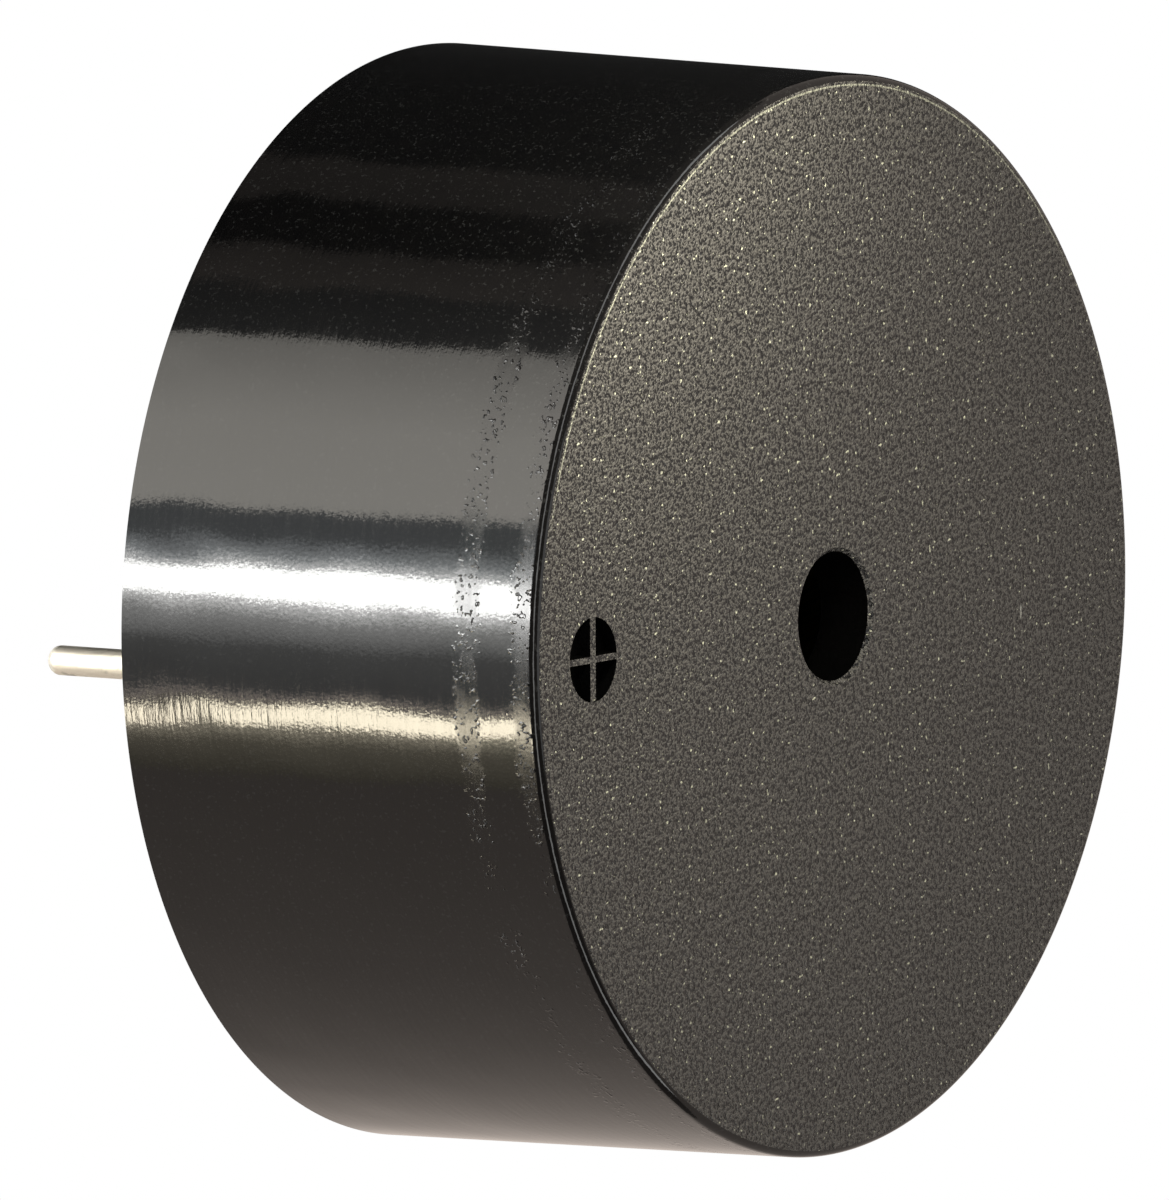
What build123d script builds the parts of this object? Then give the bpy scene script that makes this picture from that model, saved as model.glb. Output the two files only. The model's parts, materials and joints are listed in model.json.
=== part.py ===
from build123d import *
import os

# Round pin-type piezo buzzer with its own drive circuit, in millimetres.
# +Z points out of the sound hole, and z = 0 is the rear rim of the case, which seats on a circuit board.
# The origin is the centre of that rim, and +X points from it to the positive pin.

# Case
case_rear_diameter = 22.0
case_front_diameter = 21.7
case_height = 9.8
case_front_wall = 1.2
case_rim_wall = 0.95
rim_chamfer = 0.25
front_edge_radius = 0.2
board_well_depth = 3.4
board_ledge_width = 0.45
diaphragm_ledge_width = 1.1
cavity_depth = 1.4

# Sound hole and the round recess beside it that marks the positive side
sound_hole_diameter = 2.6
sound_hole_chamfer = 0.08
mark_diameter = 1.7
mark_depth = 0.3
mark_edge_margin = 1.2
mark_angle = -9.8

# Piezo element
plate_thickness = 0.2
plate_clearance = 0.1
ceramic_margin = 2.5
ceramic_thickness = 0.2
electrode_margin = 0.4
electrode_thickness = 0.03
tongue_width = 2.6
tongue_inner_radius = 2.4
electrode_gap = 0.4

# Silicone bead that holds the plate against its ledge
bead_overlap = 0.6
bead_height = 0.6

# Circuit board
board_thickness = 1.0
board_clearance = 0.15
copper_thickness = 0.05
track_width = 0.5
pin_pad_diameter = 2.2
wire_pad_diameter = 1.5

# Chip resistors and their copper lands
resistor_length = 2.0
resistor_width = 1.25
resistor_height = 0.55
cap_length = 0.4
cap_thickness = 0.05
land_length = 1.0
land_width = 1.3

# Transistor in a small three-legged package
transistor_length = 2.9
transistor_width = 1.3
transistor_height = 1.0
transistor_standoff = 0.08
transistor_draft = 7.0
leg_spacing = 0.95
leg_reach = 0.6
leg_shoulder = 0.2
leg_foot = 0.3
leg_width = 0.4
leg_thickness = 0.13
leg_land_length = 0.9
leg_land_width = 0.8

# Pins
pin_pitch = 12.7
pin_diameter = 0.6
pin_length = 4.9
pin_tip_radius = 0.24
pin_body_diameter = 1.0
pin_collar_diameter = 1.5
pin_collar_thickness = 0.4
pin_tail_height = 0.6
pin_hole_clearance = 0.05

# Resin that seals the back
resin_recess = 0.6
resin_meniscus = 0.25
resin_meniscus_width = 1.2

# Lead wires between the board and the piezo element
wire_diameter = 0.4
wire_bend_length = 1.0
wire_gap = 0.05

# Solder
pin_solder_diameter = 1.9
pin_solder_height = 0.45
wire_solder_diameter = 1.3
wire_solder_height = 0.4
solder_edge = 0.08

# Places on the board, seen from the sound hole
transistor_y = 0.4
load_resistor_x = 3.0
load_resistor_y = 3.6
bias_resistor_x = 3.4
bias_resistor_y = -1.0
feedback_resistor_y = -3.4
main_pad_x = -2.4
main_pad_y = 4.8
feedback_pad_x = 3.4
feedback_pad_y = -5.6
ground_pad_x = -5.2
ground_pad_y = 3.6

# Places of the wire joints on the piezo element
main_joint_margin = 1.2
main_joint_angle = 39
ground_joint_angle = 200

# Radii worked out from the case inwards
rear_radius = case_rear_diameter / 2
front_radius = case_front_diameter / 2
well_radius = rear_radius - case_rim_wall
pocket_radius = well_radius - board_ledge_width
cavity_radius = pocket_radius - diaphragm_ledge_width
plate_radius = pocket_radius - plate_clearance
ceramic_radius = plate_radius - ceramic_margin
electrode_radius = ceramic_radius - electrode_margin
board_radius = well_radius - board_clearance
pin_radius = pin_diameter / 2
pin_body_radius = pin_body_diameter / 2
pin_hole_radius = pin_body_radius + pin_hole_clearance
wire_radius = wire_diameter / 2

# Heights worked out from the front wall back, and from the rear rim forward
cavity_front_z = case_height - case_front_wall
plate_front_z = cavity_front_z - cavity_depth
plate_rear_z = plate_front_z - plate_thickness
ceramic_rear_z = plate_rear_z - ceramic_thickness
electrode_rear_z = ceramic_rear_z - electrode_thickness
board_front_z = board_well_depth
board_rear_z = board_front_z - board_thickness
copper_z = board_front_z + copper_thickness
collar_rear_z = board_rear_z - pin_collar_thickness
resin_edge_z = resin_recess - resin_meniscus

# Places worked out from the sizes
transistor_place = Vector(0, transistor_y)
load_resistor_place = Vector(load_resistor_x, load_resistor_y)
bias_resistor_place = Vector(bias_resistor_x, bias_resistor_y)
feedback_resistor_place = Vector(leg_spacing, feedback_resistor_y)
main_pad_place = Vector(main_pad_x, main_pad_y)
feedback_pad_place = Vector(feedback_pad_x, feedback_pad_y)
ground_pad_place = Vector(ground_pad_x, ground_pad_y)
positive_pin_place = Vector(pin_pitch / 2, 0)
negative_pin_place = Vector(-pin_pitch / 2, 0)
mark_radius = front_radius - mark_edge_margin - mark_diameter / 2
mark_place = Vector(mark_radius, 0).rotate(Axis.Z, mark_angle)
main_joint_radius = electrode_radius - main_joint_margin
main_joint_place = Vector(main_joint_radius, 0).rotate(Axis.Z, main_joint_angle)
feedback_joint_place = Vector(0, -(tongue_inner_radius + electrode_radius) / 2)
ground_joint_radius = (ceramic_radius + plate_radius - bead_overlap) / 2
ground_joint_place = Vector(ground_joint_radius, 0).rotate(Axis.Z, ground_joint_angle)
land_offset = Vector(resistor_length / 2, 0)
leg_centre_offset = transistor_width / 2 + leg_reach - leg_foot / 2
collector_place = transistor_place + Vector(0, leg_centre_offset)
base_place = transistor_place + Vector(leg_spacing, -leg_centre_offset)
emitter_place = transistor_place + Vector(-leg_spacing, -leg_centre_offset)

os.makedirs("parts", exist_ok=True)

# Case: one moulding, with the board well, the diaphragm ledge and the sound cavity stepped inside it
with BuildPart() as case:
    with BuildSketch(Plane.XZ):
        with BuildLine():
            Polyline(
                (0, case_height),
                (front_radius, case_height),
                (rear_radius, 0),
                (well_radius, 0),
                (well_radius, board_front_z),
                (pocket_radius, board_front_z),
                (pocket_radius, plate_front_z),
                (cavity_radius, plate_front_z),
                (cavity_radius, cavity_front_z),
                (0, cavity_front_z),
                close=True,
            )
        make_face()
    revolve(axis=Axis.Z)
    front_rim = case.edges().filter_by(GeomType.CIRCLE).group_by(Axis.Z)[-1]
    fillet(front_rim.sort_by(SortBy.RADIUS)[-1], radius=front_edge_radius)
    rear_rim = case.edges().filter_by(GeomType.CIRCLE).group_by(Axis.Z)[0]
    chamfer(rear_rim.sort_by(SortBy.RADIUS)[0], length=rim_chamfer)
    with Locations((0, 0, case_height)):
        Hole(radius=sound_hole_diameter / 2, depth=case_front_wall)
    hole_mouth = case.edges().filter_by(GeomType.CIRCLE).group_by(Axis.Z)[-1]
    chamfer(hole_mouth.sort_by(SortBy.RADIUS)[0], length=sound_hole_chamfer)
    with Locations((mark_place.X, mark_place.Y, case_height)):
        Hole(radius=mark_diameter / 2, depth=mark_depth)
case.part.label = "case"
export_step(case.part, "parts/case.step")

# Diaphragm: a flat brass plate against the ledge of the case
with BuildPart() as diaphragm_plate:
    with BuildSketch(Plane.XY.offset(plate_rear_z)):
        Circle(plate_radius)
    extrude(amount=plate_thickness)
diaphragm_plate.part.label = "diaphragm_plate"
export_step(diaphragm_plate.part, "parts/diaphragm_plate.step")

# Piezo ceramic, bonded to the back of the plate
with BuildPart() as ceramic_disc:
    with BuildSketch(Plane.XY.offset(ceramic_rear_z)):
        Circle(ceramic_radius)
    extrude(amount=ceramic_thickness)
ceramic_disc.part.label = "ceramic_disc"
export_step(ceramic_disc.part, "parts/ceramic_disc.step")

# Silver electrodes: the feedback one is a tongue, and the main one is cut back around it
tongue_length = electrode_radius - tongue_inner_radius - tongue_width / 2
tongue_centre_y = -(tongue_inner_radius + tongue_width / 2)
with BuildPart() as feedback_electrode:
    with BuildSketch(Plane.XY.offset(electrode_rear_z)):
        with Locations((0, tongue_centre_y)):
            Circle(tongue_width / 2)
            Rectangle(tongue_width, tongue_length, align=(Align.CENTER, Align.MAX))
        Circle(electrode_radius, mode=Mode.INTERSECT)
    extrude(amount=electrode_thickness)
feedback_electrode.part.label = "feedback_electrode"
export_step(feedback_electrode.part, "parts/feedback_electrode.step")

with BuildPart() as main_electrode:
    with BuildSketch(Plane.XY.offset(electrode_rear_z)):
        Circle(electrode_radius)
        with Locations((0, tongue_centre_y)):
            Circle(tongue_width / 2 + electrode_gap, mode=Mode.SUBTRACT)
            Rectangle(
                tongue_width + 2 * electrode_gap,
                tongue_length + electrode_margin,
                align=(Align.CENTER, Align.MAX),
                mode=Mode.SUBTRACT,
            )
    extrude(amount=electrode_thickness)
main_electrode.part.label = "main_electrode"
export_step(main_electrode.part, "parts/main_electrode.step")

# Silicone bead: it fills the gap round the plate and laps over the back of its edge
with BuildPart() as diaphragm_bead:
    with BuildSketch(Plane.XZ):
        with BuildLine():
            Polyline(
                (plate_radius - bead_overlap, plate_rear_z),
                (pocket_radius, plate_rear_z - bead_height),
                (pocket_radius, plate_front_z),
                (plate_radius, plate_front_z),
                (plate_radius, plate_rear_z),
                close=True,
            )
        make_face()
    revolve(axis=Axis.Z)
diaphragm_bead.part.label = "diaphragm_bead"
export_step(diaphragm_bead.part, "parts/diaphragm_bead.step")

# Circuit board: a disc with one hole for each pin, its front face against the ledge of the case
pin_places = [positive_pin_place, negative_pin_place]
with BuildPart() as circuit_board:
    with BuildSketch(Plane.XY.offset(board_rear_z)):
        Circle(board_radius)
        with Locations(*pin_places):
            Circle(pin_hole_radius, mode=Mode.SUBTRACT)
    extrude(amount=board_thickness)
circuit_board.part.label = "circuit_board"
export_step(circuit_board.part, "parts/circuit_board.step")

# Copper on the board: a land under each joint, and the tracks that join them
load_supply_land = load_resistor_place + land_offset
load_collector_land = load_resistor_place - land_offset
bias_supply_land = bias_resistor_place + land_offset
bias_base_land = bias_resistor_place - land_offset
feedback_base_land = feedback_resistor_place + land_offset.rotate(Axis.Z, 90)
feedback_input_land = feedback_resistor_place - land_offset.rotate(Axis.Z, 90)
tracks = {
    "supply to the load resistor": [
        positive_pin_place,
        Vector(positive_pin_place.X, load_supply_land.Y / 2),
        load_supply_land,
    ],
    "supply to the bias resistor": [positive_pin_place, bias_supply_land],
    "collector to the load resistor": [
        collector_place,
        Vector(collector_place.X, load_collector_land.Y),
        load_collector_land,
    ],
    "collector to the main lead": [Vector(collector_place.X, load_collector_land.Y), main_pad_place],
    "base to the bias resistor": [base_place, bias_base_land],
    "base to the feedback resistor": [base_place, feedback_base_land],
    "feedback resistor to the feedback lead": [feedback_input_land, feedback_pad_place],
    "emitter to the negative pin": [
        emitter_place,
        Vector(emitter_place.X, bias_resistor_place.Y - land_width / 2),
        negative_pin_place,
    ],
    "negative pin to the ground lead": [negative_pin_place, ground_pad_place],
}
with BuildPart() as board_copper:
    with BuildSketch(Plane.XY.offset(board_front_z)):
        for route in tracks.values():
            with BuildLine():
                Polyline(*route)
            trace(line_width=track_width)
        with Locations(load_supply_land, load_collector_land, bias_supply_land, bias_base_land):
            Rectangle(land_length, land_width)
        with Locations(feedback_base_land, feedback_input_land):
            Rectangle(land_width, land_length)
        with Locations(collector_place, base_place, emitter_place):
            Rectangle(leg_land_width, leg_land_length)
        with Locations(main_pad_place, feedback_pad_place, ground_pad_place):
            Circle(wire_pad_diameter / 2)
        with Locations(*pin_places):
            Circle(pin_pad_diameter / 2)
            Circle(pin_hole_radius, mode=Mode.SUBTRACT)
    extrude(amount=copper_thickness)
board_copper.part.label = "board_copper"
export_step(board_copper.part, "parts/board_copper.step")

# Transistor: a body drafted both ways from its parting line, and three bent legs
leg_root_z = copper_z + transistor_standoff + transistor_height / 2
with BuildPart() as transistor_body:
    with BuildSketch(Plane.XY.offset(leg_root_z)):
        with Locations(transistor_place):
            Rectangle(transistor_length, transistor_width)
    extrude(amount=transistor_height / 2, both=True, taper=transistor_draft)
transistor_body.part.label = "transistor_body"
export_step(transistor_body.part, "parts/transistor_body.step")

with BuildPart() as transistor_legs:
    for leg_x, side in [(0, 1), (leg_spacing, -1), (-leg_spacing, -1)]:
        leg_plane = Plane(
            origin=(transistor_place.X + leg_x, transistor_place.Y, copper_z + leg_thickness / 2),
            x_dir=(0, side, 0),
            z_dir=(side, 0, 0),
        )
        with BuildSketch(leg_plane):
            with BuildLine():
                Polyline(
                    (transistor_width / 2, leg_root_z - copper_z - leg_thickness / 2),
                    (transistor_width / 2 + leg_shoulder, leg_root_z - copper_z - leg_thickness / 2),
                    (transistor_width / 2 + leg_reach - leg_foot, 0),
                    (transistor_width / 2 + leg_reach, 0),
                )
            trace(line_width=leg_thickness)
        extrude(amount=leg_width / 2, both=True)
transistor_legs.part.label = "transistor_legs"
export_step(transistor_legs.part, "parts/transistor_legs.step")

# Chip resistors: a ceramic block each, and a tinned cap folded over each end
resistors = {
    "load_resistor": (load_resistor_place, 0),
    "bias_resistor": (bias_resistor_place, 0),
    "feedback_resistor": (feedback_resistor_place, 90),
}
core_length = resistor_length - 2 * cap_thickness
core_width = resistor_width - 2 * cap_thickness
core_height = resistor_height - 2 * cap_thickness
for name, (place, turn) in resistors.items():
    with BuildPart() as resistor:
        with Locations(Location((place.X, place.Y, copper_z + cap_thickness), (0, 0, turn))):
            Box(core_length, core_width, core_height, align=(Align.CENTER, Align.CENTER, Align.MIN))
    resistor.part.label = name
    export_step(resistor.part, f"parts/{name}.step")

cap_offset = (resistor_length - cap_length) / 2
with BuildPart() as resistor_caps:
    for place, turn in resistors.values():
        with Locations(Location((place.X, place.Y, copper_z), (0, 0, turn))):
            with Locations((-cap_offset, 0), (cap_offset, 0)):
                Box(
                    cap_length,
                    resistor_width,
                    resistor_height,
                    align=(Align.CENTER, Align.CENTER, Align.MIN),
                )
    for place, turn in resistors.values():
        with Locations(Location((place.X, place.Y, copper_z + cap_thickness), (0, 0, turn))):
            Box(
                core_length,
                core_width,
                core_height,
                align=(Align.CENTER, Align.CENTER, Align.MIN),
                mode=Mode.SUBTRACT,
            )
resistor_caps.part.label = "resistor_caps"
export_step(resistor_caps.part, "parts/resistor_caps.step")

# Pins: a round-tipped shank, a thicker body through the resin and the board, and a collar under the board
pins = []
for name, place in [("positive_pin", positive_pin_place), ("negative_pin", negative_pin_place)]:
    with BuildPart() as pin:
        with BuildSketch(Plane.XY.offset(-pin_length)):
            with Locations(place):
                Circle(pin_radius)
        extrude(amount=pin_length + resin_edge_z)
        fillet(pin.edges().group_by(Axis.Z)[0], radius=pin_tip_radius)
        with BuildSketch(Plane.XY.offset(resin_edge_z)):
            with Locations(place):
                Circle(pin_body_radius)
        extrude(amount=copper_z + pin_tail_height - resin_edge_z)
        with BuildSketch(Plane.XY.offset(collar_rear_z)):
            with Locations(place):
                Circle(pin_collar_diameter / 2)
        extrude(amount=pin_collar_thickness)
    pin.part.label = name
    export_step(pin.part, f"parts/{name}.step")
    pins.append(pin.part)

# Lead wires: each rises from its board pad, turns, and runs close behind the disc to its joint
leads = {
    "main_lead": (main_pad_place, main_joint_place),
    "feedback_lead": (feedback_pad_place, feedback_joint_place),
    "ground_lead": (ground_pad_place, ground_joint_place),
}
lead_run_z = electrode_rear_z - wire_gap - wire_radius
wires = []
for name, (pad, joint) in leads.items():
    bend_end = pad + (joint - pad).normalized() * wire_bend_length
    with BuildPart() as lead:
        with BuildLine():
            Polyline(
                (pad.X, pad.Y, copper_z),
                (pad.X, pad.Y, lead_run_z - wire_bend_length),
                (bend_end.X, bend_end.Y, lead_run_z),
                (joint.X, joint.Y, lead_run_z),
            )
        with BuildSketch(Plane.XY.offset(copper_z)):
            with Locations(pad):
                Circle(wire_radius)
        sweep(transition=Transition.RIGHT)
    lead.part.label = name
    export_step(lead.part, f"parts/{name}.step")
    wires.append(lead.part)

# Solder: a cone round each pin and each wire on the board, and a cone over each wire's end on the disc
with BuildPart() as pin_solder:
    with Locations([(place.X, place.Y, copper_z) for place in pin_places]):
        Cone(
            pin_solder_diameter / 2,
            pin_body_radius + solder_edge,
            pin_solder_height,
            align=(Align.CENTER, Align.CENTER, Align.MIN),
        )
    add(pins, mode=Mode.SUBTRACT)
pin_solder.part.label = "pin_solder"
export_step(pin_solder.part, "parts/pin_solder.step")

with BuildPart() as board_wire_solder:
    with Locations([(pad.X, pad.Y, copper_z) for pad, joint in leads.values()]):
        Cone(
            wire_solder_diameter / 2,
            wire_radius + solder_edge,
            wire_solder_height,
            align=(Align.CENTER, Align.CENTER, Align.MIN),
        )
    add(wires, mode=Mode.SUBTRACT)
board_wire_solder.part.label = "board_wire_solder"
export_step(board_wire_solder.part, "parts/board_wire_solder.step")

cover_z = lead_run_z - wire_radius - solder_edge
with BuildPart() as piezo_wire_solder:
    for joint, seat_z in [
        (main_joint_place, electrode_rear_z),
        (feedback_joint_place, electrode_rear_z),
        (ground_joint_place, plate_rear_z),
    ]:
        with Locations((joint.X, joint.Y, cover_z)):
            Cone(
                wire_radius + solder_edge,
                wire_solder_diameter / 2,
                seat_z - cover_z,
                align=(Align.CENTER, Align.CENTER, Align.MIN),
            )
    add(wires, mode=Mode.SUBTRACT)
piezo_wire_solder.part.label = "piezo_wire_solder"
export_step(piezo_wire_solder.part, "parts/piezo_wire_solder.step")

# Potting resin: poured behind the board, level in the middle and drawn up the wall of the case
with BuildPart() as potting_resin:
    with BuildSketch(Plane.XZ):
        with BuildLine():
            Polyline(
                (0, resin_recess),
                (well_radius - resin_meniscus_width, resin_recess),
                (well_radius, resin_edge_z),
                (well_radius, board_rear_z),
                (0, board_rear_z),
                close=True,
            )
        make_face()
    revolve(axis=Axis.Z)
    add(pins, mode=Mode.SUBTRACT)
potting_resin.part.label = "potting_resin"
export_step(potting_resin.part, "parts/potting_resin.step")
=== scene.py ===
import bmesh
import bpy
import json
import math
from mathutils import Matrix, Vector


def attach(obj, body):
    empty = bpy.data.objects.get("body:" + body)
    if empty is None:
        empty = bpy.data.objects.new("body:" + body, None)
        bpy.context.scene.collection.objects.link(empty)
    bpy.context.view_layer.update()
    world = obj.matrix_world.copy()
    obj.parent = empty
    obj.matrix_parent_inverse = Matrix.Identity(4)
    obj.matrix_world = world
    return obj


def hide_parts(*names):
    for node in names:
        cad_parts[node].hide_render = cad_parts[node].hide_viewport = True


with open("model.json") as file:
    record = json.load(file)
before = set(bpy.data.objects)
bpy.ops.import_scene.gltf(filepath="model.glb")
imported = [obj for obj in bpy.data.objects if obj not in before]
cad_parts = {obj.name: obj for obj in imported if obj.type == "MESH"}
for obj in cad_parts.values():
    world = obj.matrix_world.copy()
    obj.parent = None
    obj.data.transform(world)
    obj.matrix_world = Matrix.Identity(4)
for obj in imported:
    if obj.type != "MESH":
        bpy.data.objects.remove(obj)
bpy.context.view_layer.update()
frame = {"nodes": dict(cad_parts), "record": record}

# Round piezo buzzer, dressed. Lengths in this script are in millimetres until MM turns them into metres.
MM = 0.001

# Case, as in the solids
REAR_RADIUS = 11.0
FRONT_RADIUS = 10.85
CASE_HEIGHT = 9.8
WELL_RADIUS = 10.05
POCKET_RADIUS = 9.6
CAVITY_RADIUS = 8.5
BOARD_FRONT_Z = 3.4
PLATE_FRONT_Z = 7.2
CAVITY_FRONT_Z = 8.6
RIM_CHAMFER = 0.25
EDGE_RADIUS = 0.2
HOLE_RADIUS = 1.3
HOLE_CHAMFER = 0.08
MARK_RADIUS = 0.85
MARK_DEPTH = 0.3
MARK_PLACE_RADIUS = 8.8
MARK_ANGLE = -9.8

# Polarity sign: its bars' widths, their flanks' slope, and how far it stays below the face and off the wall
MARK_RADIAL_BAR = 0.13
MARK_CROSS_BAR = 0.19
MARK_BAR_FLARE = 0.02
MARK_SIGN_DROP = 0.006
MARK_SIGN_GAP = 0.006

# Pins, as in the solids
PIN_HALF_PITCH = 6.35
PIN_RADIUS = 0.3
PIN_TIP_RADIUS = 0.24
PIN_END_Z = -4.9
PIN_BODY_RADIUS = 0.5
PIN_BODY_Z = 0.35
PIN_COLLAR_RADIUS = 0.75
PIN_COLLAR_Z = 2.0
PIN_COLLAR_TOP_Z = 2.4
PIN_TOP_Z = 4.05

# Meshes: how finely round forms are turned, and the narrow strip that keeps a bend's shading crisp
CASE_SEGMENTS = 720
HOLE_SEGMENTS = 180
MARK_SEGMENTS = 120
PIN_SEGMENTS = 72
EDGE_STEPS = 10
SHARP_ANGLE = 35
SUPPORT = 0.012
CUT_BEYOND = 1

# The grain covers the face as far as its normal's Z stays above this
GRAIN_REACH = 0.95

# Each noise is its scale per millimetre, its detail and its roughness. Most of a noise is in MIDDLE.
MIDDLE = (0.3, 0.7)
WIDE = (0.2, 0.8)
PLASTIC_IOR = 1.5

# Smooth side: faint rings, a slow waviness that is stronger at the rear, and dust
GLOSS_NOISE = (3, 3, 0.6)
GLOSS_DARK = (0.0016, 0.0016, 0.0018, 1)
GLOSS_LIGHT = (0.0034, 0.0032, 0.003, 1)
GLOSS_ROUGHNESS = (0.05, 0.09)
RING_STRETCH = (0.2, 0.2, 1.6)
RING_NOISE = (6, 3, 0.6)
RING_RELIEF = 0.0035
WAVE_STRETCH = (1, 1, 0.8)
WAVE_NOISE = (0.45, 1, 0.4)
WAVE_FADE_Z = (0, 4)
WAVE_GAIN = (3.0, 1.3)
WAVE_RELIEF = 0.02
DUST_NOISE = (14, 1, 0.5)
DUST_SHARE = (0.6, 0.75)
DUST_RELIEF = 0.0008
DUST_COLOUR = (0.013, 0.013, 0.0125, 1)

# Wear on the smooth side: a band round it and the lip by the edge, both ragged, patchy and pitted
OUTER_RADIUS = (10.4, 10.6)
RAGGED_NOISE = (3.5, 2, 0.6)
RAGGED_REACH = 0.5
BAND_START_Z = (8.06, 8.2)
BAND_END_Z = (8.7, 8.58)
LIP_START_Z = (9.38, 9.62)
LIP_END_Z = (9.66, 9.58)
PATCH_NOISE = (0.9, 3, 0.6)
PATCH_SHARE = (0.36, 0.58)
PATCH_WEAR = (0.2, 1.0)
PIT_NOISE = (10, 1, 0.5)
PIT_SHARE = (0.59, 0.72)
PIT_RELIEF = 0.014

# A narrow stretch of the side, by its Y, has hardly any wear. The wear is hazier on its -Y side.
SPARED_START_Y = (3.0, 2.75)
SPARED_END_Y = (3.6, 3.85)
SPARED_WEAR = (0.08, 1)
HAZE_Y = (3.6, 2.9)
HAZE_ROUGHNESS = (0.04, 0.12)

# Grained face, with a few glints painted into its colour as pale specks
GRAIN_COARSE = (10.0, 1, 0.5)
GRAIN_FINE = (20.0, 1, 0.5)
GRAIN_FINE_SHARE = 0.6
GRAIN_RELIEF = 0.075
GRAIN_TONE = (0.66, 0.94)
GRAIN_DARK = (0.004, 0.004, 0.004, 1)
GRAIN_LIGHT = (0.07, 0.065, 0.056, 1)
GRAIN_ROUGHNESS = (0.16, 0.3)
PAINTED_GLINT_NOISE = (11, 0, 0.5)
PAINTED_GLINT_SHARE = (0.75, 0.83)
PAINTED_GLINT_COLOUR = (0.4, 0.39, 0.28, 1)

# A pale line painted along the face's edge on its -Y side: a painted highlight of the edge
PAINTED_HIGHLIGHT_RADIUS = 10.64
PAINTED_HIGHLIGHT_HALF_WIDTH = 0.03
PAINTED_HIGHLIGHT_Y = (-4, -6)
PAINTED_HIGHLIGHT_SHARE = (0.3, 0.5)
PAINTED_HIGHLIGHT_STRENGTH = (0.3, 1.0)
PAINTED_HIGHLIGHT_COLOUR = (0.22, 0.215, 0.16, 1)

# A pale fibre that lies on the face
FIBRE_PLACE = (-6.62, 1.72, 9.8)
FIBRE_ANGLE = 79
FIBRE_REACH = (0.18, 0.025, 1)
FIBRE_EDGE = (1.0, 0.7)
FIBRE_COLOUR = (0.3, 0.29, 0.25, 1)

# Matt walls of the sound hole and of the mark's recess
MATT_NOISE = (14, 2, 0.6)
MATT_DARK = (0.0003, 0.0003, 0.0003, 1)
MATT_LIGHT = (0.0012, 0.0011, 0.001, 1)
MATT_ROUGHNESS = (0.45, 0.6)
MATT_SHEEN = 0.06
MATT_RELIEF = 0.02

# Tin plate: drawn along the pin, with duller blotches
TIN_STRETCH = (4, 4, 0.5)
TIN_NOISE = (3, 3, 0.6)
TIN_RELIEF = 0.004
BLOTCH_NOISE = (2.2, 3, 0.6)
BLOTCH_SHARE = (0.52, 0.68)
BLOTCH_SHADE = 0.62
BLOTCH_ROUGHNESS = 0.12

# Stock materials of the inner parts
STOCK_DETAIL = 3
STOCK_NOISE_ROUGHNESS = 0.6

# Laminate of the circuit board
WEAVE_SCALE = 1.1
WEAVE_DISTORTION = 0.6
WEAVE_DETAIL = 2.0
WEAVE_DETAIL_SCALE = 2.0
WEAVE_DARK = (0.3, 0.24, 0.1, 1)
WEAVE_LIGHT = (0.46, 0.38, 0.18, 1)
WEAVE_ROUGHNESS = (0.45, 0.3)
WEAVE_RELIEF = 0.01

# Camera: its axes in the part's frame, and its distance
CAMERA_RIGHT = Vector((-0.5416, 0.1012, 0.8346))
CAMERA_UP = Vector((-0.2653, -0.9625, -0.0555))
CAMERA_BACK = Vector((0.7977, -0.2515, 0.5481))
CAMERA_DISTANCE = 868
CAMERA_OFFSET_RIGHT = -5.0037
CAMERA_OFFSET_UP = 0.3279
CAMERA_LENS = 1302.6
CAMERA_NEAR = 100
CAMERA_FAR = 5000
SENSOR_WIDTH = 36

# Direction on the part's XY plane that faces the camera
FACING_ANGLE = -17.5

# Surroundings
BACKGROUND_STRENGTH = 1.0
AMBIENT_STRENGTH = 0.8
FLOOR_Z = -110
FLOOR_SIZE = 6000
FLOOR_TONE = 0.8

# Reflectors: the radius of the curved cards round the part, and the heights of their edges
CARD_RADIUS = 70
CARD_LOW_Z = -76
CREAM_LOW_Z = -36.2
CARD_HIGH_Z = -8
GLEAM_LOW_Z = 40
GLEAM_HIGH_Z = 58
FLAG_HIGH_Z = 260
FLAG_END = 115
HALF_TURN = 180
CARD_STEP = 2.0

# Tints of the reflectors
WHITE = (1.0, 1.0, 0.98)
COOL = (0.93, 0.98, 1.0)
WARM = (1.0, 0.87, 0.78)
CREAM = (1.0, 0.9, 0.69)
PALE = (1.0, 0.96, 0.88)

scene = bpy.context.scene
scene.view_settings.view_transform = "Standard"


# Node helpers
def emptied(made):
    made.use_nodes = True
    made.node_tree.nodes.clear()
    return made


def material(name):
    return emptied(bpy.data.materials.new(name))


def node(made, kind, settings=None, **inputs):
    """A node of that kind. A value that is a socket is linked, and any other is set on the input."""
    new = made.node_tree.nodes.new(kind)
    for key, value in (settings or {}).items():
        setattr(new, key, value)
    for key, value in inputs.items():
        numbered = key[0] == "i" and key[1:].isdigit()
        socket = new.inputs[int(key[1:]) if numbered else key.replace("_", " ")]
        if isinstance(value, bpy.types.NodeSocket):
            made.node_tree.links.new(value, socket)
        else:
            socket.default_value = value
    return new


def maths(made, operation, *values):
    inputs = {f"i{index}": value for index, value in enumerate(values)}
    return node(made, "ShaderNodeMath", {"operation": operation}, **inputs).outputs[0]


def product(made, first, second):
    return maths(made, "MULTIPLY", first, second)


def fade(made, value, low, high, to_low=0.0, to_high=1.0):
    """A smooth step of value between low and high."""
    return node(
        made,
        "ShaderNodeMapRange",
        {"interpolation_type": "SMOOTHSTEP"},
        Value=value,
        From_Min=low,
        From_Max=high,
        To_Min=to_low,
        To_Max=to_high,
    ).outputs[0]


def mix_colour(made, factor, first, second):
    mixed = node(made, "ShaderNodeMix", {"data_type": "RGBA"}, i0=factor, i6=first, i7=second)
    return mixed.outputs[2]


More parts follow.
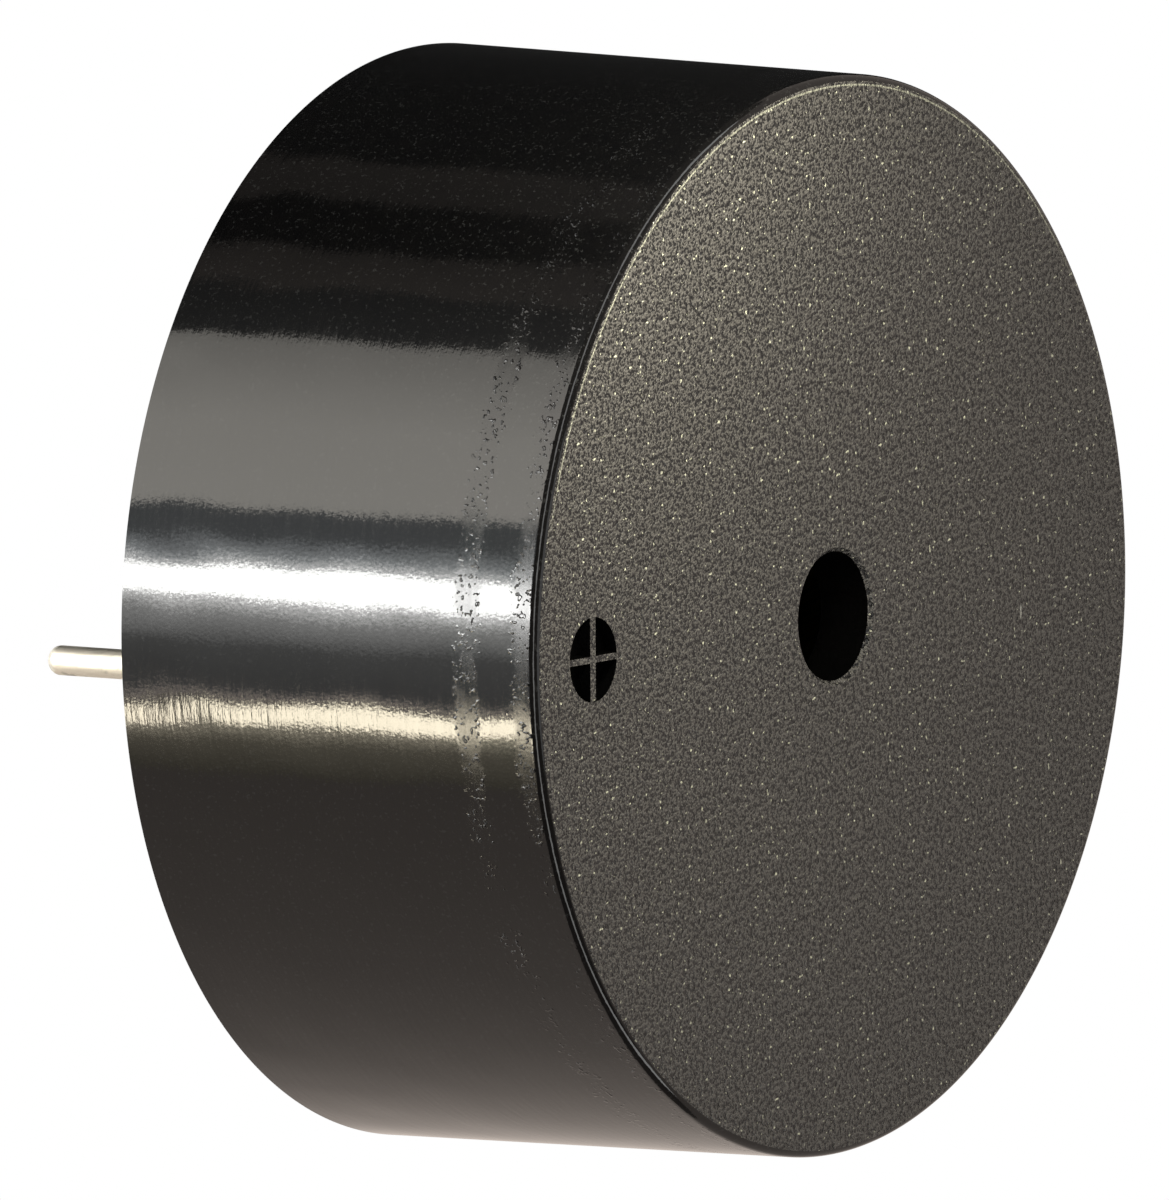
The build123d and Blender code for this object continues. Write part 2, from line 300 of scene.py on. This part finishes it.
def millimetres(made):
    """The point on the part, in millimetres."""
    place = node(made, "ShaderNodeTexCoord").outputs["Object"]
    scaled = node(made, "ShaderNodeVectorMath", {"operation": "SCALE"}, i0=place, Scale=1 / MM)
    return scaled.outputs[0]


def stretched(made, place, scale):
    return node(
        made, "ShaderNodeVectorMath", {"operation": "MULTIPLY"}, i0=place, i1=scale
    ).outputs[0]


def length(made, vector):
    return node(made, "ShaderNodeVectorMath", {"operation": "LENGTH"}, i0=vector).outputs[1]


def from_axis(made, place):
    """The distance from the case's axis."""
    return length(made, stretched(made, place, (1, 1, 0)))


def noise(made, place, scale, detail, roughness):
    return node(
        made,
        "ShaderNodeTexNoise",
        Vector=place,
        Scale=scale,
        Detail=detail,
        Roughness=roughness,
    ).outputs[0]


def bump(made, height, distance, normal=None):
    """distance is in millimetres."""
    inputs = {"Height": height, "Distance": distance * MM, "Strength": 1.0}
    if normal:
        inputs["Normal"] = normal
    return node(made, "ShaderNodeBump", **inputs).outputs[0]


def surface(made, **inputs):
    shader = node(made, "ShaderNodeBsdfPrincipled", **inputs)
    node(made, "ShaderNodeOutputMaterial", Surface=shader.outputs[0])
    return made


def grey(value):
    return (value, value, value, 1)


# Mesh helpers
def smooth_by_angle(form):
    for face in form.faces:
        face.smooth = True
    for edge in form.edges:
        bend = edge.calc_face_angle(0) if len(edge.link_faces) == 2 else math.pi
        edge.smooth = bend < math.radians(SHARP_ANGLE)


def link_object(name, data):
    new = bpy.data.objects.new(name, data)
    scene.collection.objects.link(new)
    return new


def finish_mesh(name, form):
    bmesh.ops.recalc_face_normals(form, faces=form.faces)
    smooth_by_angle(form)
    mesh = bpy.data.meshes.new(name)
    form.to_mesh(mesh)
    form.free()
    return link_object(name, mesh)


def lathe(name, profile, segments, centre=(0, 0)):
    """A closed profile of (radius, height) points, turned about the line through centre along Z."""
    form = bmesh.new()
    rings = []
    for radius, height in profile:
        ring = []
        for step in range(segments if radius else 1):
            turn = 2 * math.pi * step / segments
            x = centre[0] + radius * math.cos(turn)
            y = centre[1] + radius * math.sin(turn)
            ring.append(form.verts.new((x * MM, y * MM, height * MM)))
        rings.append(ring)
    for lower, upper in zip(rings, rings[1:] + rings[:1]):
        if len(lower) == 1 and len(upper) == 1:
            continue
        for step in range(segments):
            after = (step + 1) % segments
            if len(lower) == 1:
                form.faces.new((lower[0], upper[after], upper[step]))
            elif len(upper) == 1:
                form.faces.new((lower[step], lower[after], upper[0]))
            else:
                form.faces.new((lower[step], lower[after], upper[after], upper[step]))
    return finish_mesh(name, form)


def cut(body, cutters):
    """Takes the cutters out of body, and removes them."""
    for cutter in cutters:
        modifier = body.modifiers.new("cut", "BOOLEAN")
        modifier.operation = "DIFFERENCE"
        modifier.solver = "EXACT"
        modifier.object = cutter
    bpy.context.view_layer.update()
    graph = bpy.context.evaluated_depsgraph_get()
    mesh = bpy.data.meshes.new_from_object(body.evaluated_get(graph))
    body.modifiers.clear()
    body.data = mesh
    for cutter in cutters:
        bpy.data.objects.remove(cutter)
    form = bmesh.new()
    form.from_mesh(mesh)
    smooth_by_angle(form)
    form.to_mesh(mesh)
    form.free()


def quarter_round(steps):
    """The sine and cosine of each step through a quarter turn."""
    turns = [math.pi / 2 * step / steps for step in range(steps + 1)]
    return [(math.sin(turn), math.cos(turn)) for turn in turns]


# Case: the solid's own section, with the edge finely rounded
def side_radius(height):
    return REAR_RADIUS + (FRONT_RADIUS - REAR_RADIUS) * height / CASE_HEIGHT


def case_profile():
    edge_start = CASE_HEIGHT - EDGE_RADIUS
    edge_centre = side_radius(edge_start) - EDGE_RADIUS
    rounded = [
        (edge_centre + EDGE_RADIUS * cosine, edge_start + EDGE_RADIUS * sine)
        for sine, cosine in quarter_round(EDGE_STEPS)
    ]
    return [
        (WELL_RADIUS + RIM_CHAMFER, 0),
        (side_radius(0), 0),
        (side_radius(SUPPORT), SUPPORT),
        (side_radius(edge_start - SUPPORT), edge_start - SUPPORT),
        *rounded,
        (edge_centre - SUPPORT, CASE_HEIGHT),
        (edge_centre - 2 * SUPPORT, CASE_HEIGHT),
        (0, CASE_HEIGHT),
        (0, CAVITY_FRONT_Z),
        (CAVITY_RADIUS, CAVITY_FRONT_Z),
        (CAVITY_RADIUS, PLATE_FRONT_Z),
        (POCKET_RADIUS, PLATE_FRONT_Z),
        (POCKET_RADIUS, BOARD_FRONT_Z),
        (WELL_RADIUS, BOARD_FRONT_Z),
        (WELL_RADIUS, RIM_CHAMFER),
    ]


mark_turn = math.radians(MARK_ANGLE)
mark_place = (MARK_PLACE_RADIUS * math.cos(mark_turn), MARK_PLACE_RADIUS * math.sin(mark_turn))
case_shell = lathe("case_shell", case_profile(), CASE_SEGMENTS)
hole_profile = [
    (0, CAVITY_FRONT_Z - CUT_BEYOND),
    (HOLE_RADIUS, CAVITY_FRONT_Z - CUT_BEYOND),
    (HOLE_RADIUS, CASE_HEIGHT - HOLE_CHAMFER),
    (HOLE_RADIUS + HOLE_CHAMFER + CUT_BEYOND, CASE_HEIGHT + CUT_BEYOND),
    (0, CASE_HEIGHT + CUT_BEYOND),
]
mark_profile = [
    (0, CASE_HEIGHT - MARK_DEPTH),
    (MARK_RADIUS, CASE_HEIGHT - MARK_DEPTH),
    (MARK_RADIUS, CASE_HEIGHT + CUT_BEYOND),
    (0, CASE_HEIGHT + CUT_BEYOND),
]
hole_cutter = lathe("hole_cutter", hole_profile, HOLE_SEGMENTS)
mark_cutter = lathe("mark_cutter", mark_profile, MARK_SEGMENTS, mark_place)
cut(case_shell, [hole_cutter, mark_cutter])


# Polarity sign: a raised cross that stands in the recess, level with the face
def cross_outline(radial_half, cross_half, reach):
    """The outline of a cross: one bar along the radius of the case, and one across it."""
    corner = [(reach, radial_half), (cross_half, radial_half), (cross_half, reach)]
    outline = []
    for along_sign, across_sign in [(1, 1), (-1, 1), (-1, -1), (1, -1)]:
        quarter = [(along_sign * along, across_sign * across) for along, across in corner]
        outline += quarter if along_sign == across_sign else quarter[::-1]
    return outline


def polarity_cross():
    form = bmesh.new()
    rings = []
    for flare, height in [
        (MARK_BAR_FLARE, CASE_HEIGHT - MARK_DEPTH),
        (0, CASE_HEIGHT - MARK_SIGN_DROP),
    ]:
        ring = []
        for along, across in cross_outline(
            MARK_RADIAL_BAR / 2 + flare, MARK_CROSS_BAR / 2 + flare, MARK_RADIUS - MARK_SIGN_GAP
        ):
            x = mark_place[0] + along * math.cos(mark_turn) - across * math.sin(mark_turn)
            y = mark_place[1] + along * math.sin(mark_turn) + across * math.cos(mark_turn)
            ring.append(form.verts.new(Vector((x, y, height)) * MM))
        rings.append(ring)
    foot, top = rings
    for corner in range(len(foot)):
        after = (corner + 1) % len(foot)
        form.faces.new((foot[corner], foot[after], top[after], top[corner]))
    form.faces.new(foot[::-1])
    form.faces.new(top)
    return finish_mesh("polarity_cross", form)


polarity_sign = polarity_cross()


# Pins: the solids' own section, finely turned
def pin_profile():
    tip_centre_z = PIN_END_Z + PIN_TIP_RADIUS
    tip_flat = PIN_RADIUS - PIN_TIP_RADIUS
    tip = [
        (tip_flat + PIN_TIP_RADIUS * sine, tip_centre_z - PIN_TIP_RADIUS * cosine)
        for sine, cosine in quarter_round(EDGE_STEPS)
    ]
    return [
        (0, PIN_END_Z),
        *tip,
        (PIN_RADIUS, tip_centre_z + SUPPORT),
        (PIN_RADIUS, PIN_BODY_Z),
        (PIN_BODY_RADIUS, PIN_BODY_Z),
        (PIN_BODY_RADIUS, PIN_COLLAR_Z),
        (PIN_COLLAR_RADIUS, PIN_COLLAR_Z),
        (PIN_COLLAR_RADIUS, PIN_COLLAR_TOP_Z),
        (PIN_BODY_RADIUS, PIN_COLLAR_TOP_Z),
        (PIN_BODY_RADIUS, PIN_TOP_Z),
        (0, PIN_TOP_Z),
    ]


pins = {
    "positive_pin": lathe("pin_positive", pin_profile(), PIN_SEGMENTS, (PIN_HALF_PITCH, 0)),
    "negative_pin": lathe("pin_negative", pin_profile(), PIN_SEGMENTS, (-PIN_HALF_PITCH, 0)),
}


# Wear of the smooth side, from 0 to 1
def side_wear(made, place, along_y, height):
    ragged = maths(made, "MULTIPLY_ADD", noise(made, place, *RAGGED_NOISE), RAGGED_REACH, height)
    band = product(made, fade(made, ragged, *BAND_START_Z), fade(made, ragged, *BAND_END_Z))
    lip = product(made, fade(made, ragged, *LIP_START_Z), fade(made, height, *LIP_END_Z))
    patchy = fade(made, noise(made, place, *PATCH_NOISE), *PATCH_SHARE, *PATCH_WEAR)
    worn = product(made, maths(made, "MAXIMUM", band, lip), patchy)
    worn = product(made, worn, fade(made, from_axis(made, place), *OUTER_RADIUS))
    before = fade(made, along_y, *SPARED_START_Y)
    beyond = fade(made, along_y, *SPARED_END_Y)
    kept = fade(made, maths(made, "MAXIMUM", before, beyond), 0, 1, *SPARED_WEAR)
    return product(made, worn, kept)


# Black moulded plastic: the smooth side, and the rest that isn't grained
def case_gloss():
    made = material("case_gloss")
    place = millimetres(made)
    axes = node(made, "ShaderNodeSeparateXYZ", i0=place).outputs
    along_y, height = axes[1], axes[2]
    rings = noise(made, stretched(made, place, RING_STRETCH), *RING_NOISE)
    waves = noise(made, stretched(made, place, WAVE_STRETCH), *WAVE_NOISE)
    waves = product(made, waves, fade(made, height, *WAVE_FADE_Z, *WAVE_GAIN))
    dust = noise(made, place, *DUST_NOISE)
    pits = fade(made, noise(made, place, *PIT_NOISE), *PIT_SHARE)
    worn = side_wear(made, place, along_y, height)
    haze = product(made, worn, fade(made, along_y, *HAZE_Y, *HAZE_ROUGHNESS))
    rough = maths(made, "ADD", fade(made, rings, *MIDDLE, *GLOSS_ROUGHNESS), haze)
    normal = bump(made, waves, WAVE_RELIEF)
    normal = bump(made, rings, RING_RELIEF, normal)
    normal = bump(made, dust, DUST_RELIEF, normal)
    normal = bump(made, product(made, pits, worn), PIT_RELIEF, normal)
    colour = mix_colour(made, noise(made, place, *GLOSS_NOISE), GLOSS_DARK, GLOSS_LIGHT)
    colour = mix_colour(made, fade(made, dust, *DUST_SHARE), colour, DUST_COLOUR)
    return surface(made, Base_Color=colour, Roughness=rough, IOR=PLASTIC_IOR, Normal=normal)


# Black moulded plastic: the grained face
def case_grain():
    made = material("case_grain")
    place = millimetres(made)
    coarse = noise(made, place, *GRAIN_COARSE)
    fine = noise(made, place, *GRAIN_FINE)
    height = maths(made, "MULTIPLY_ADD", fine, GRAIN_FINE_SHARE, coarse)
    # Painted glints: pale specks in the base colour that stand in for glints of light on the grain
    painted_glints = fade(made, noise(made, place, *PAINTED_GLINT_NOISE), *PAINTED_GLINT_SHARE)
    colour = mix_colour(made, fade(made, height, *GRAIN_TONE), GRAIN_DARK, GRAIN_LIGHT)
    colour = mix_colour(made, painted_glints, colour, PAINTED_GLINT_COLOUR)
    # A painted highlight: a pale line along the face's edge on its -Y side
    colour = mix_colour(made, painted_edge_highlight(made, place, coarse), colour, PAINTED_HIGHLIGHT_COLOUR)
    colour = mix_colour(made, fibre(made, place), colour, FIBRE_COLOUR)
    return surface(
        made,
        Base_Color=colour,
        Roughness=fade(made, fine, *MIDDLE, *GRAIN_ROUGHNESS),
        IOR=PLASTIC_IOR,
        Normal=bump(made, height, GRAIN_RELIEF),
    )


def painted_edge_highlight(made, place, coarse):
    """Where a highlight is painted as a pale line along the face's edge on its -Y side, from 0 to 1."""
    across = from_axis(made, place)
    inner = fade(made, across, PAINTED_HIGHLIGHT_RADIUS - PAINTED_HIGHLIGHT_HALF_WIDTH, PAINTED_HIGHLIGHT_RADIUS)
    outer = fade(made, across, PAINTED_HIGHLIGHT_RADIUS + PAINTED_HIGHLIGHT_HALF_WIDTH, PAINTED_HIGHLIGHT_RADIUS)
    along_y = node(made, "ShaderNodeSeparateXYZ", i0=place).outputs[1]
    highlight_line = product(made, product(made, inner, outer), fade(made, along_y, *PAINTED_HIGHLIGHT_Y))
    return product(made, highlight_line, fade(made, coarse, *PAINTED_HIGHLIGHT_SHARE, *PAINTED_HIGHLIGHT_STRENGTH))


def fibre(made, place):
    """Where the fibre lies, from 0 to 1."""
    on_fibre = node(
        made,
        "ShaderNodeMapping",
        {"vector_type": "TEXTURE"},
        Vector=place,
        Location=FIBRE_PLACE,
        Rotation=(0, 0, math.radians(FIBRE_ANGLE)),
        Scale=FIBRE_REACH,
    ).outputs[0]
    return fade(made, length(made, on_fibre), *FIBRE_EDGE)


# Black moulded plastic: the matt walls of the sound hole and of the mark's recess
def case_matt():
    made = material("case_matt")
    pattern = noise(made, millimetres(made), *MATT_NOISE)
    return surface(
        made,
        Base_Color=mix_colour(made, pattern, MATT_DARK, MATT_LIGHT),
        Roughness=fade(made, pattern, *MIDDLE, *MATT_ROUGHNESS),
        IOR=PLASTIC_IOR,
        Specular_IOR_Level=MATT_SHEEN,
        Normal=bump(made, pattern, MATT_RELIEF),
    )


# Tin plate on the pins and on the small inner parts
def tin(name, base, rough):
    made = material(name)
    place = millimetres(made)
    drawn = noise(made, stretched(made, place, TIN_STRETCH), *TIN_NOISE)
    blotch = fade(made, noise(made, place, *BLOTCH_NOISE), *BLOTCH_SHARE)
    stained = tuple(BLOTCH_SHADE * part for part in base[:3]) + (1,)
    duller = product(made, blotch, BLOTCH_ROUGHNESS)
    return surface(
        made,
        Base_Color=mix_colour(made, blotch, base, stained),
        Metallic=1.0,
        Roughness=maths(made, "ADD", fade(made, drawn, *MIDDLE, *rough), duller),
        Normal=bump(made, drawn, TIN_RELIEF),
    )


# Circuit board: woven glass in resin
def laminate(name):
    made = material(name)
    place = millimetres(made)
    waves = [
        node(
            made,
            "ShaderNodeTexWave",
            {"bands_direction": direction},
            Vector=place,
            Scale=WEAVE_SCALE,
            Distortion=WEAVE_DISTORTION,
            Detail=WEAVE_DETAIL,
            Detail_Scale=WEAVE_DETAIL_SCALE,
        ).outputs[1]
        for direction in ("X", "Y")
    ]
    weave = product(made, waves[0], waves[1])
    return surface(
        made,
        Base_Color=mix_colour(made, weave, WEAVE_DARK, WEAVE_LIGHT),
        Roughness=fade(made, weave, 0, 1, *WEAVE_ROUGHNESS),
        Normal=bump(made, weave, WEAVE_RELIEF),
    )


# A plain stock material: a base colour that varies a little, with a fine relief
def stock(name, dark, light, scale, rough, relief, metallic=0.0, ior=PLASTIC_IOR, stretch=(1, 1, 1)):
    made = material(name)
    place = stretched(made, millimetres(made), stretch)
    pattern = noise(made, place, scale, STOCK_DETAIL, STOCK_NOISE_ROUGHNESS)
    return surface(
        made,
        Base_Color=mix_colour(made, fade(made, pattern, *MIDDLE), dark + (1,), light + (1,)),
        Metallic=metallic,
        Roughness=fade(made, pattern, *WIDE, *rough),
        IOR=ior,
        Normal=bump(made, pattern, relief),
    )


# Inner parts: dark, light, pattern's scale, roughness, relief, then metallic, IOR and stretch if they differ
stock_looks = {
    "solder": ((0.6, 0.6, 0.6), (0.78, 0.78, 0.78), 3, (0.18, 0.32), 0.01, 1.0),
    "plate_brass": (
        (0.6, 0.44, 0.18), (0.78, 0.6, 0.28), 4, (0.25, 0.4), 0.002, 1.0, 1.5, (0.2, 3, 1)
    ),
    "silicone": ((0.62, 0.62, 0.58), (0.74, 0.74, 0.7), 1.5, (0.35, 0.5), 0.02, 0.0, 1.41),
    "piezo_ceramic": ((0.5, 0.43, 0.32), (0.64, 0.56, 0.43), 9, (0.6, 0.75), 0.004),
    "electrode_silver": ((0.68, 0.67, 0.64), (0.84, 0.83, 0.8), 7, (0.35, 0.5), 0.003, 1.0),
    "copper": ((0.6, 0.28, 0.17), (0.8, 0.43, 0.29), 5, (0.25, 0.4), 0.002, 1.0),
    "transistor_plastic": ((0.02, 0.02, 0.02), (0.035, 0.035, 0.035), 12, (0.5, 0.65), 0.01),
    "resistor_ceramic": ((0.03, 0.03, 0.035), (0.06, 0.06, 0.065), 10, (0.3, 0.45), 0.006),
    "lead_red": ((0.42, 0.02, 0.015), (0.6, 0.05, 0.04), 2, (0.3, 0.42), 0.006),
    "lead_blue": ((0.02, 0.06, 0.35), (0.05, 0.12, 0.5), 2, (0.3, 0.42), 0.006),
    "lead_black": ((0.012, 0.012, 0.012), (0.03, 0.03, 0.03), 2, (0.3, 0.42), 0.006),
    "resin": ((0.012, 0.012, 0.014), (0.022, 0.022, 0.025), 0.6, (0.07, 0.2), 0.08, 0.0, 1.52),
}
gloss = case_gloss()
grain = case_grain()
matt = case_matt()
pin_metal = tin("pin_metal", (0.8, 0.76, 0.66, 1), (0.4, 0.52))
slot_materials = {
    "case_plastic": gloss,
    "pin_metal": pin_metal,
    "tinned_metal": tin("tinned_metal", (0.8, 0.79, 0.76, 1), (0.25, 0.4)),
    "board_laminate": laminate("board_laminate"),
}
for name, look in stock_looks.items():
    slot_materials[name] = stock(name, *look)

# The solids that stay in view take the material of their slot
slots = {part["node"]: part["material_slot"] for part in frame["record"]["subparts"]}
for name, cad in frame["nodes"].items():
    cad.data.materials.clear()
    cad.data.materials.append(slot_materials[slots[name]])


# The case's front face is grained, the hole and the recess are matt, and the rest is smooth
def case_material_index(polygon):
    centre = polygon.center / MM
    across = centre.xy.length
    chamfer_z = CASE_HEIGHT - HOLE_CHAMFER
    in_hole = across < HOLE_RADIUS + SUPPORT and centre.z > CAVITY_FRONT_Z
    in_mark = (centre.xy - Vector(mark_place)).length < MARK_RADIUS + SUPPORT
    if in_hole or (in_mark and centre.z > CAVITY_FRONT_Z + SUPPORT):
        return 2
    in_chamfer = across < HOLE_RADIUS + HOLE_CHAMFER and centre.z > chamfer_z
    on_front = centre.z > CASE_HEIGHT - EDGE_RADIUS and polygon.normal.z > GRAIN_REACH
    return 1 if in_chamfer or on_front else 0


case_shell.data.materials.clear()
for made in (gloss, grain, matt):
    case_shell.data.materials.append(made)
for polygon in case_shell.data.polygons:
    polygon.material_index = case_material_index(polygon)
for made in (grain, matt):
    polarity_sign.data.materials.append(made)
for polygon in polarity_sign.data.polygons:
    polygon.material_index = 0 if polygon.normal.z > GRAIN_REACH else 1
for pin in pins.values():
    pin.data.materials.append(pin_metal)

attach(case_shell, "root")
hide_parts("case")
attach(polarity_sign, "root")
for name, pin in pins.items():
    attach(pin, "root")
    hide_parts(name)

# Camera
camera_data = bpy.data.cameras.new("camera")
camera = link_object("camera", camera_data)
camera_data.lens = CAMERA_LENS
camera_data.sensor_width = SENSOR_WIDTH
camera_data.clip_start = CAMERA_NEAR * MM
camera_data.clip_end = CAMERA_FAR * MM
aim = Vector((0, 0, CASE_HEIGHT)) + CAMERA_RIGHT * CAMERA_OFFSET_RIGHT + CAMERA_UP * CAMERA_OFFSET_UP
camera_axes = Matrix((CAMERA_RIGHT, CAMERA_UP, CAMERA_BACK)).transposed()
camera.rotation_mode = "QUATERNION"
camera.rotation_quaternion = camera_axes.to_quaternion()
camera.location = (aim + CAMERA_BACK * CAMERA_DISTANCE) * MM
scene.camera = camera


# Surroundings: a white room that the camera and glossy surfaces see, and softer light from all round
def either(made, first, second):
    settings = {"operation": "ADD", "use_clamp": True}
    return node(made, "ShaderNodeMath", settings, i0=first, i1=second).outputs[0]


def seen_directly(made):
    """1 for the camera's own rays and for glossy and transmitted ones, and 0 for the others."""
    rays = node(made, "ShaderNodeLightPath").outputs
    reflected = either(made, rays["Is Camera Ray"], rays["Is Glossy Ray"])
    return either(made, reflected, rays["Is Transmission Ray"])


world = emptied(bpy.data.worlds.new("studio"))
world_strength = node(
    world,
    "ShaderNodeMapRange",
    Value=seen_directly(world),
    To_Min=AMBIENT_STRENGTH,
    To_Max=BACKGROUND_STRENGTH,
).outputs[0]
background = node(world, "ShaderNodeBackground", Color=grey(1.0), Strength=world_strength)
node(world, "ShaderNodeOutputWorld", Surface=background.outputs[0])
scene.world = world


# Floor: a plain white sheet, far behind the pins
def floor_white():
    made = material("floor_white")
    paper = node(made, "ShaderNodeBsdfDiffuse", Color=grey(FLOOR_TONE)).outputs[0]
    glow = node(made, "ShaderNodeEmission", Color=grey(1.0), Strength=BACKGROUND_STRENGTH).outputs[0]
    mixed = node(made, "ShaderNodeMixShader", i0=seen_directly(made), i1=paper, i2=glow)
    node(made, "ShaderNodeOutputMaterial", Surface=mixed.outputs[0])
    return made


def floor_sheet():
    half = FLOOR_SIZE / 2
    corners = [(-half, -half), (half, -half), (half, half), (-half, half)]
    mesh = bpy.data.meshes.new("floor")
    mesh.from_pydata([Vector((x, y, FLOOR_Z)) * MM for x, y in corners], [], [(0, 1, 2, 3)])
    mesh.materials.append(floor_white())
    new = link_object("floor", mesh)


floor_sheet()


# Reflectors: curved cards round the part, which only glossy surfaces see
def glowing_paper():
    made = material("card_paper")
    glow = node(made, "ShaderNodeAttribute", {"attribute_name": "glow"}).outputs[0]
    light = node(made, "ShaderNodeEmission", Color=glow, Strength=1.0)
    node(made, "ShaderNodeOutputMaterial", Surface=light.outputs[0])
    return made


def tint(colour, strength):
    return tuple(part * strength for part in colour)


def card_turn(side_angle):
    """Where the camera's ray goes after the side's point at that angle from the facing direction."""
    near = math.asin(REAR_RADIUS * math.sin(math.radians(side_angle)) / CARD_RADIUS)
    return 2 * side_angle - math.degrees(near)


def card(name, start, end, low_z, high_z, first, last):
    """A curved card whose glow runs from first to last. Its ends are angles from the facing direction,
    positive towards the top of the picture."""
    steps = max(1, math.ceil(abs(end - start) / CARD_STEP))
    points, faces, glow = [], [], []
    for step in range(steps + 1):
        share = step / steps
        turn = math.radians(FACING_ANGLE - (start + (end - start) * share))
        x = CARD_RADIUS * math.cos(turn)
        y = CARD_RADIUS * math.sin(turn)
        for z in (low_z, high_z):
            points.append((x * MM, y * MM, z * MM))
            glow += [a + (b - a) * share for a, b in zip(first, last)] + [1.0]
    for step in range(steps):
        corner = 2 * step
        faces.append((corner, corner + 2, corner + 3, corner + 1))
    mesh = bpy.data.meshes.new(name)
    mesh.from_pydata(points, [], faces)
    mesh.color_attributes.new("glow", "FLOAT_COLOR", "POINT").data.foreach_set("color", glow)
    mesh.materials.append(card_paper)
    new = link_object(name, mesh)
    new.visible_camera = False
    new.visible_diffuse = False
    new.visible_shadow = False
    new.visible_transmission = False


# Each card below the part: its two edges, as the side's angle that shows them, and its glow there
side_cards = {
    "lower_room": (-95, -62, tint(WARM, 0.74), tint(WARM, 0.64)),
    "lower_wall": (-62, -42, tint(WARM, 0.64), tint(WARM, 0.6)),
    "lower_table": (-42, -20.5, tint(WARM, 0.61), tint(WARM, 0.56)),
    "cream_tail": (-20.5, -17, tint(CREAM, 0.55), tint(CREAM, 1.2)),
    "cream_foot": (-17, -15.1, tint(CREAM, 1.2), tint(CREAM, 4)),
    "cream_strip": (-15.1, -13.05, tint(CREAM, 24), tint(CREAM, 24)),
    "cream_low": (-15.1, -13.05, tint(CREAM, 2.2), tint(CREAM, 2.2)),
    "dark_line": (-13.05, -12.65, tint(WARM, 0.7), tint(WARM, 0.7)),
    "brown_line": (-12.65, -12.05, tint(WARM, 3.0), tint(WARM, 2.4)),
    "gap_low": (-12.05, -11.6, tint(WHITE, 0.9), tint(WHITE, 0.7)),
    "gap": (-11.6, -7.3, tint(WHITE, 0.7), tint(WHITE, 1.0)),
    "strip_tail": (-7.3, -4.1, tint(WHITE, 1.0), tint(WHITE, 4)),
    "strip_foot": (-4.1, -2.5, tint(WHITE, 4.5), tint(WHITE, 12)),
    "strip": (-2.5, 1.3, tint(WHITE, 27), tint(WHITE, 27)),
    "strip_head": (1.3, 2.6, tint(WHITE, 10), tint(COOL, 5)),
    "cool_fade": (2.6, 4.4, tint(COOL, 4), tint(COOL, 1.4)),
    "cool_gap": (4.4, 7.2, tint(COOL, 1.0), tint(COOL, 0.95)),
    "grey_card": (7.2, 16, tint(PALE, 4.4), tint(PALE, 3.95)),
    "grey_fade": (16, 26, tint(PALE, 3.95), tint(PALE, 2.2)),
    "shade": (26, 32, tint(WHITE, 0.2), tint(WHITE, 0.1)),
    "glimmer": (32, 37, tint(WARM, 0.26), tint(WARM, 0.14)),
    "dark": (37, 44, tint(WHITE, 0.0), tint(WHITE, 0.0)),
    "far_glimmer": (44, 50, tint(WARM, 0.1), tint(WARM, 0.1)),
    "black": (50, 95, tint(WHITE, 0.01), tint(WHITE, 0.02)),
}

# The cream card is bright above and dim below
card_heights = {
    "cream_strip": (CREAM_LOW_Z, CARD_HIGH_Z),
    "cream_low": (CARD_LOW_Z, CREAM_LOW_Z),
}
card_paper = glowing_paper()
for name, (start, end, first, last) in side_cards.items():
    low_z, high_z = card_heights.get(name, (CARD_LOW_Z, CARD_HIGH_Z))
    card("card_" + name, card_turn(start), card_turn(end), low_z, high_z, first, last)

# A dark flag on the camera's side, and a grey wall behind, which the grained face shows
flag_glow = (tint(WARM, 0.12), tint(WARM, 0.06))
gleam_glow = (tint(WHITE, 3), tint(WHITE, 3))
wall_glow = (tint(WARM, 0.4), tint(WARM, 0.5))
card("flag_low", -FLAG_END, FLAG_END, CARD_HIGH_Z, GLEAM_LOW_Z, *flag_glow)
card("flag_gleam", -FLAG_END, FLAG_END, GLEAM_LOW_Z, GLEAM_HIGH_Z, *gleam_glow)
card("flag_high", -FLAG_END, FLAG_END, GLEAM_HIGH_Z, FLAG_HIGH_Z, *flag_glow)
card("wall_low", FLAG_END, HALF_TURN, CARD_HIGH_Z, FLAG_HIGH_Z, *wall_glow)
card("wall_high", -HALF_TURN, -FLAG_END, CARD_HIGH_Z, FLAG_HIGH_Z, *wall_glow[::-1])


# Lamps, which gloss doesn't see
def area_lamp(name, place, aim_at, width, depth, power, colour):
    data = bpy.data.lights.new(name, "AREA")
    data.shape = "RECTANGLE"
    data.size = width * MM
    data.size_y = depth * MM
    data.energy = power
    data.color = colour
    lamp = link_object(name, data)
    lamp.location = Vector(place) * MM
    direction = Vector(aim_at) - Vector(place)
    lamp.rotation_mode = "QUATERNION"
    lamp.rotation_quaternion = direction.to_track_quat("-Z", "Y")
    lamp.visible_glossy = False


# Each lamp: its place, what it aims at, its width and depth, its power in watts, and its colour
lamps = {
    "edge_lamp": ((6.6, -13.6, 16.8), (2.6, -5, 9.8), 14, 4, 0.0056, (1.0, 0.98, 0.88)),
    "back_lamp": ((40, -60, -90), (0, 0, 0), 60, 60, 0.08, (1, 1, 1)),
}
for name, lamp in lamps.items():
    area_lamp(name, *lamp)
